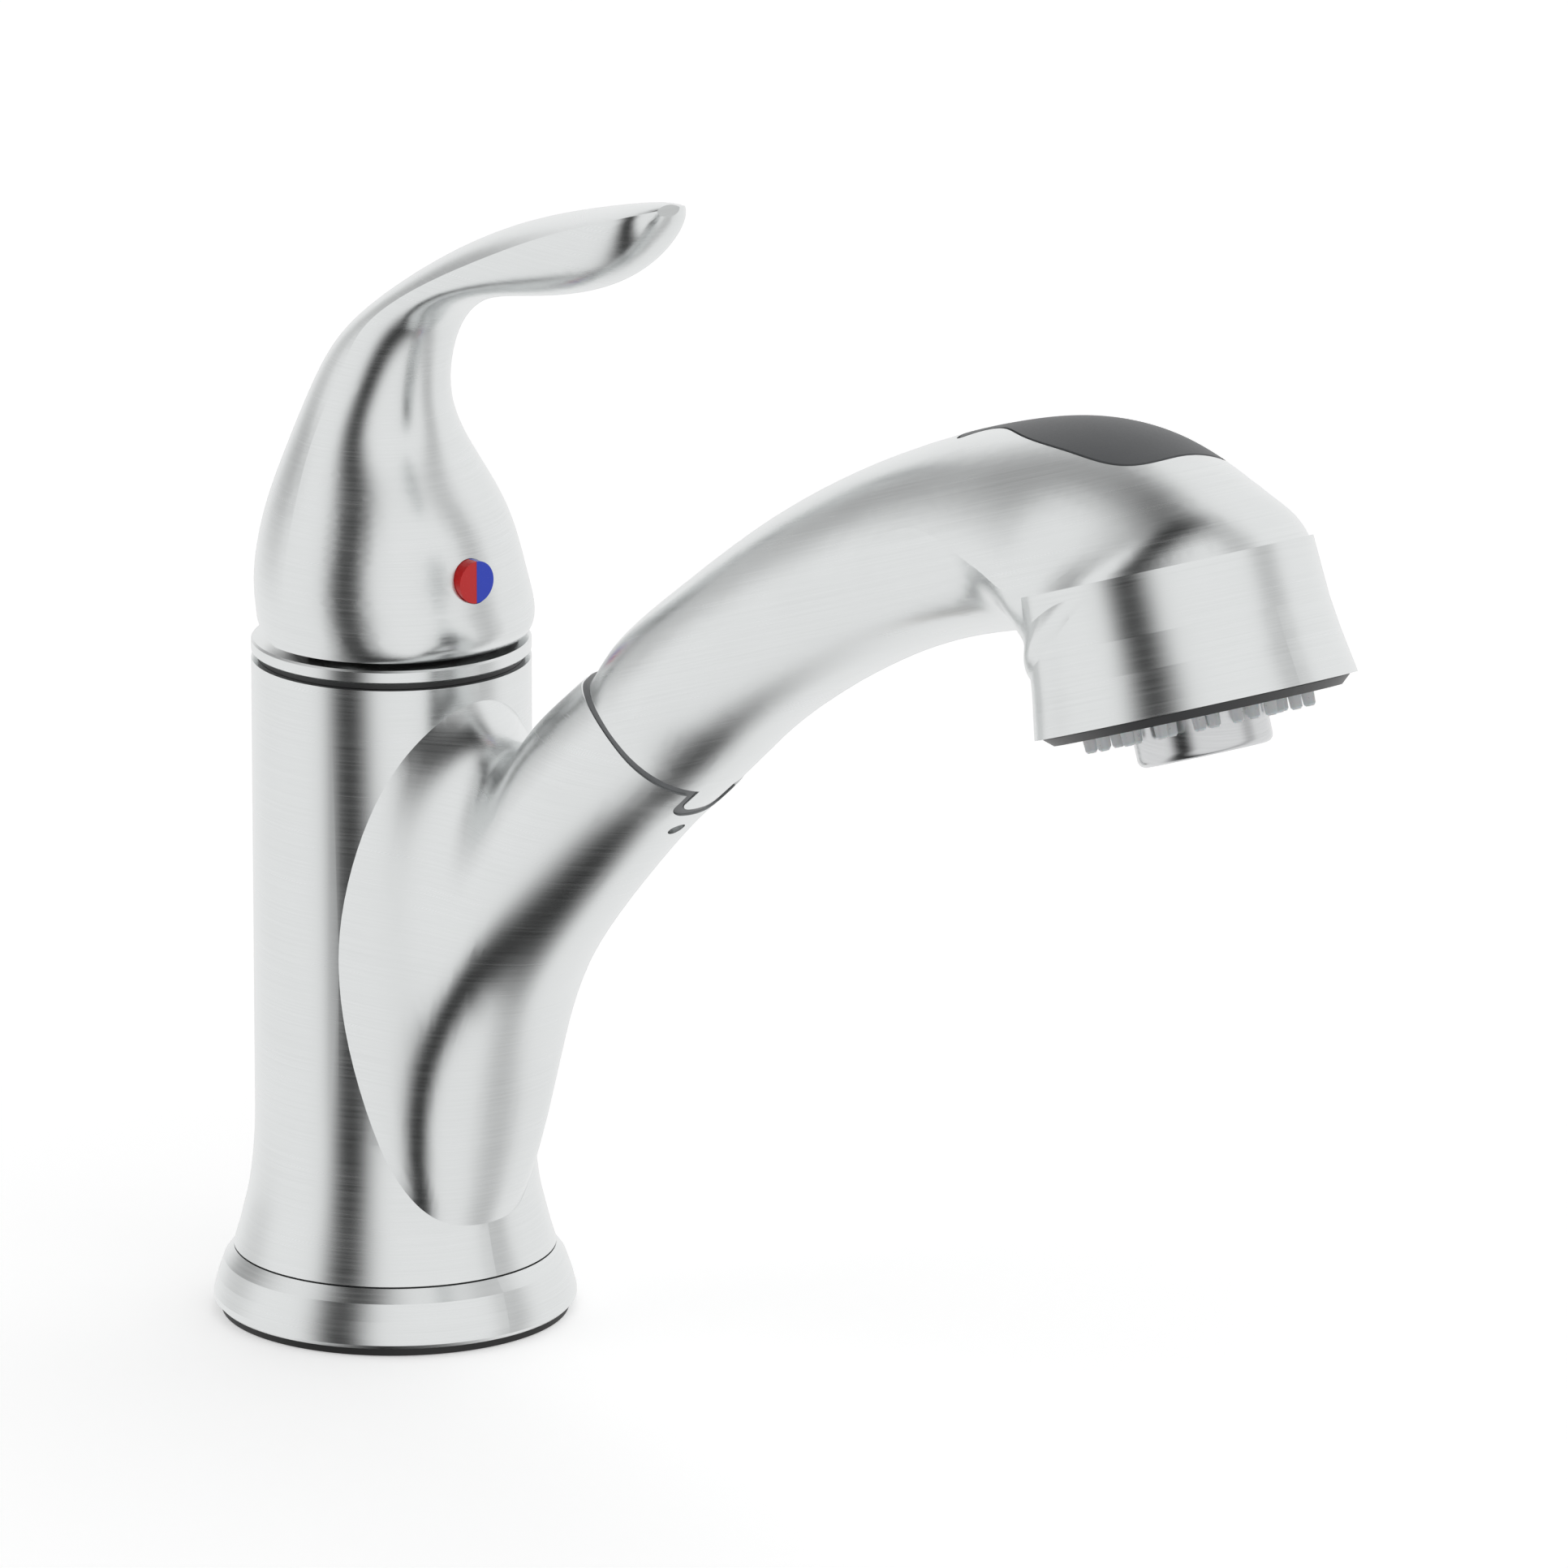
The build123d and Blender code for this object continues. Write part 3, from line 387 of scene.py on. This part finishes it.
def nozzle_tree(finish):
    """Geometry Nodes: rings of soft nozzles, each a tapered post with a rounded tip."""
    tree = bpy.data.node_groups.new("nozzle_rings", "GeometryNodeTree")
    sizes = {"Post radius": NOZZLE_R * MM, "Tip radius": NOZZLE_TIP_R * MM,
             "Post height": NOZZLE_HEIGHT * MM, "Tip height": NOZZLE_ROUND * MM}
    for name, value in sizes.items():
        socket = tree.interface.new_socket(name, in_out="INPUT", socket_type="NodeSocketFloat")
        socket.default_value = value
    tree.interface.new_socket("Geometry", in_out="OUTPUT", socket_type="NodeSocketGeometry")
    given = tree.nodes.new("NodeGroupInput")
    post = node(tree, "GeometryNodeMeshCone", {"fill_type": "NGON"}, Vertices=NOZZLE_SIDES,
                Radius_Top=given.outputs["Post radius"], Radius_Bottom=given.outputs["Tip radius"],
                Depth=given.outputs["Post height"])
    tip = node(tree, "GeometryNodeMeshCone", {"fill_type": "NGON"}, Vertices=NOZZLE_SIDES,
               Radius_Top=given.outputs["Tip radius"], Radius_Bottom=NOZZLE_END_R * MM,
               Depth=given.outputs["Tip height"])
    drop = node(tree, "ShaderNodeCombineXYZ", Z=product(tree, given.outputs["Tip height"], -1.0))
    low_tip = node(tree, "GeometryNodeTransform", Geometry=tip.outputs["Mesh"],
                   Translation=drop.outputs[0])
    nozzle = node(tree, "GeometryNodeJoinGeometry")
    tree.links.new(post.outputs["Mesh"], nozzle.inputs[0])
    tree.links.new(low_tip.outputs[0], nozzle.inputs[0])
    rings = node(tree, "GeometryNodeJoinGeometry")
    for radius, count in NOZZLE_RINGS:
        circle = node(tree, "GeometryNodeMeshCircle", Vertices=count, Radius=radius * MM)
        spread = node(tree, "GeometryNodeInstanceOnPoints", Points=circle.outputs["Mesh"],
                      Instance=nozzle.outputs[0])
        tree.links.new(spread.outputs[0], rings.inputs[0])
    real = node(tree, "GeometryNodeRealizeInstances", Geometry=rings.outputs[0])
    painted = node(tree, "GeometryNodeSetMaterial", Geometry=real.outputs[0], Material=finish)
    out = tree.nodes.new("NodeGroupOutput")
    tree.links.new(painted.outputs[0], out.inputs[0])
    return tree


def nozzles(finish):
    """The nozzles as a plain mesh, hanging from the outlet plane."""
    holder = bpy.data.objects.new("nozzle_maker", bpy.data.meshes.new("nozzle_maker"))
    bpy.context.scene.collection.objects.link(holder)
    holder.modifiers.new("rings", "NODES").node_group = nozzle_tree(finish)
    ready = holder.evaluated_get(bpy.context.evaluated_depsgraph_get())
    mesh = bpy.data.meshes.new_from_object(ready)
    bpy.data.objects.remove(holder)
    mesh.transform(HEAD @ Matrix.Translation((0, 0, (NOZZLE_ROOT - NOZZLE_HEIGHT) * MM)))
    return mesh


def add_spray_face():
    """Face plate with rounded lips, and its nozzles in the same mesh."""
    finish = moulded("translucent_silicone", "C9CCCE", "D6D9DA", 0.3, grain=0.0006, strength=0.1,
                     Transmission_Weight=0.3, Subsurface_Weight=0.2, Subsurface_Scale=0.002)
    plate = lathe("face_plate", [(12.2, 1.2), (22.8, 1.2)] + rounded((22.3, -0.8), 0.5, 0, -90)
                  + [(16.9, -1.3)] + rounded((12.7, -0.8), 0.5, -90, -180), HEAD)
    whole = bmesh.new()
    whole.from_mesh(plate)
    whole.from_mesh(nozzles(finish))
    whole.to_mesh(plate)
    whole.free()
    smooth_by_angle(plate)
    add_piece("spray_face_soft", plate, finish, "wand", "clear_silicone", "spray_face")


def add_aerator():
    """Outlet sleeve with rounded lips."""
    finish = machined("satin_chrome_plate", "C9CACB", "DCDDDE", 0.22)
    lip = rounded((10.4, -7.1), 1.5, 0, -90) + rounded((9.7, -8.1), 0.5, -90, -180, 3)
    sleeve = lathe("aerator_sleeve", [(11.9, 12.2)] + lip + [(9.2, 12.2)], HEAD)
    smooth_by_angle(sleeve)
    add_piece("aerator_sleeve", sleeve, finish, "wand", "satin_chrome", "aerator_housing")


add_spray_face()
add_aerator()

# ---- spray hose ----------------------------------------------------------------------------

DOCK_SLOPE = radians(40.8)  # of the dock's axis above the deck
DOCK = Vector((0.0775, 0.0, 0.1262))  # m, where the wand meets the spout
HOSE_R = 5.0 * MM
HOSE_STRETCH = (-31, -22)  # mm along the dock's axis; the hose's route runs through the first
HOSE_STRAIGHT, HOSE_END = -16, 2  # mm along the dock's axis
HOSE_RISE = [Vector((0, 0, -0.053)), Vector((0, 0, 0.026)), Vector((0.022, 0, 0.063))]
YARNS = 12.0  # round the hose, in each of the two directions
YARN_RISE = 2.2 * MM  # along the hose from one yarn to the next
YARN_RELIEF = (0.5, 0.4 * MM)  # strength, and depth in m


def on_dock_axis(distance):
    """Point on the dock's axis, by its distance in mm towards the wand."""
    return DOCK + distance * MM * Vector((cos(DOCK_SLOPE), 0.0, sin(DOCK_SLOPE)))


def nylon_braid():
    """Nylon yarn braided over the hose: two sets of yarns wind round it both ways, so its face is
    small lozenges. The pattern keeps to the dock's axis, so that it doesn't stretch."""
    mat, tree, shader = material("grey_nylon_braid", 0.55)
    place = node(tree, "ShaderNodeTexCoord").outputs["Object"]
    turned = node(tree, "ShaderNodeMapping", {"vector_type": "TEXTURE"}, Vector=place,
                  Location=DOCK, Rotation=(0.0, pi / 2 - DOCK_SLOPE, 0.0))
    parts = node(tree, "ShaderNodeSeparateXYZ", Vector=turned.outputs[0])
    angle = node(tree, "ShaderNodeMath", {"operation": "ARCTAN2"}, i0=parts.outputs["Y"],
                 i1=parts.outputs["X"])
    waves = []
    for way in (1.0, -1.0):
        phase = node(tree, "ShaderNodeMath", {"operation": "MULTIPLY_ADD"}, i0=parts.outputs["Z"],
                     i1=2 * pi / YARN_RISE, i2=product(tree, angle.outputs[0], YARNS * way))
        wave = node(tree, "ShaderNodeMath", {"operation": "SINE"}, i0=phase.outputs[0])
        waves.append(wave.outputs[0])
    height = node(tree, "ShaderNodeMapRange", Value=product(tree, *waves), From_Min=-1.0,
                  From_Max=1.0)
    surface(tree, shader, tinted(tree, height.outputs[0], "3E4043", "8A8C90"), height.outputs[0],
            *YARN_RELIEF)
    return mat


def add_hose():
    """Braided hose from below the shank, up the column and along the spout to the wand."""
    curve = bpy.data.curves.new("hose_route", "CURVE")
    curve.dimensions = "3D"
    route = HOSE_RISE + [on_dock_axis(k) for k in (HOSE_STRETCH[0], HOSE_STRAIGHT, HOSE_END)]
    spline = curve.splines.new("NURBS")
    spline.points.add(len(route) - 1)
    for point, place in zip(spline.points, route):
        point.co = (*place, 1.0)
    spline.order_u = 3
    spline.use_endpoint_u = True
    spline.resolution_u = 60
    curve.bevel_depth = HOSE_R
    curve.bevel_resolution = 7
    curve.use_fill_caps = True
    maker = bpy.data.objects.new("hose_maker", curve)
    bpy.context.scene.collection.objects.link(maker)
    ready = maker.evaluated_get(bpy.context.evaluated_depsgraph_get())
    mesh = bpy.data.meshes.new_from_object(ready)
    bpy.data.objects.remove(maker)
    hose = add_piece("braided_hose", mesh, nylon_braid(), None, "hose_braid", "spray_hose")
    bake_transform(hose)


add_hose()
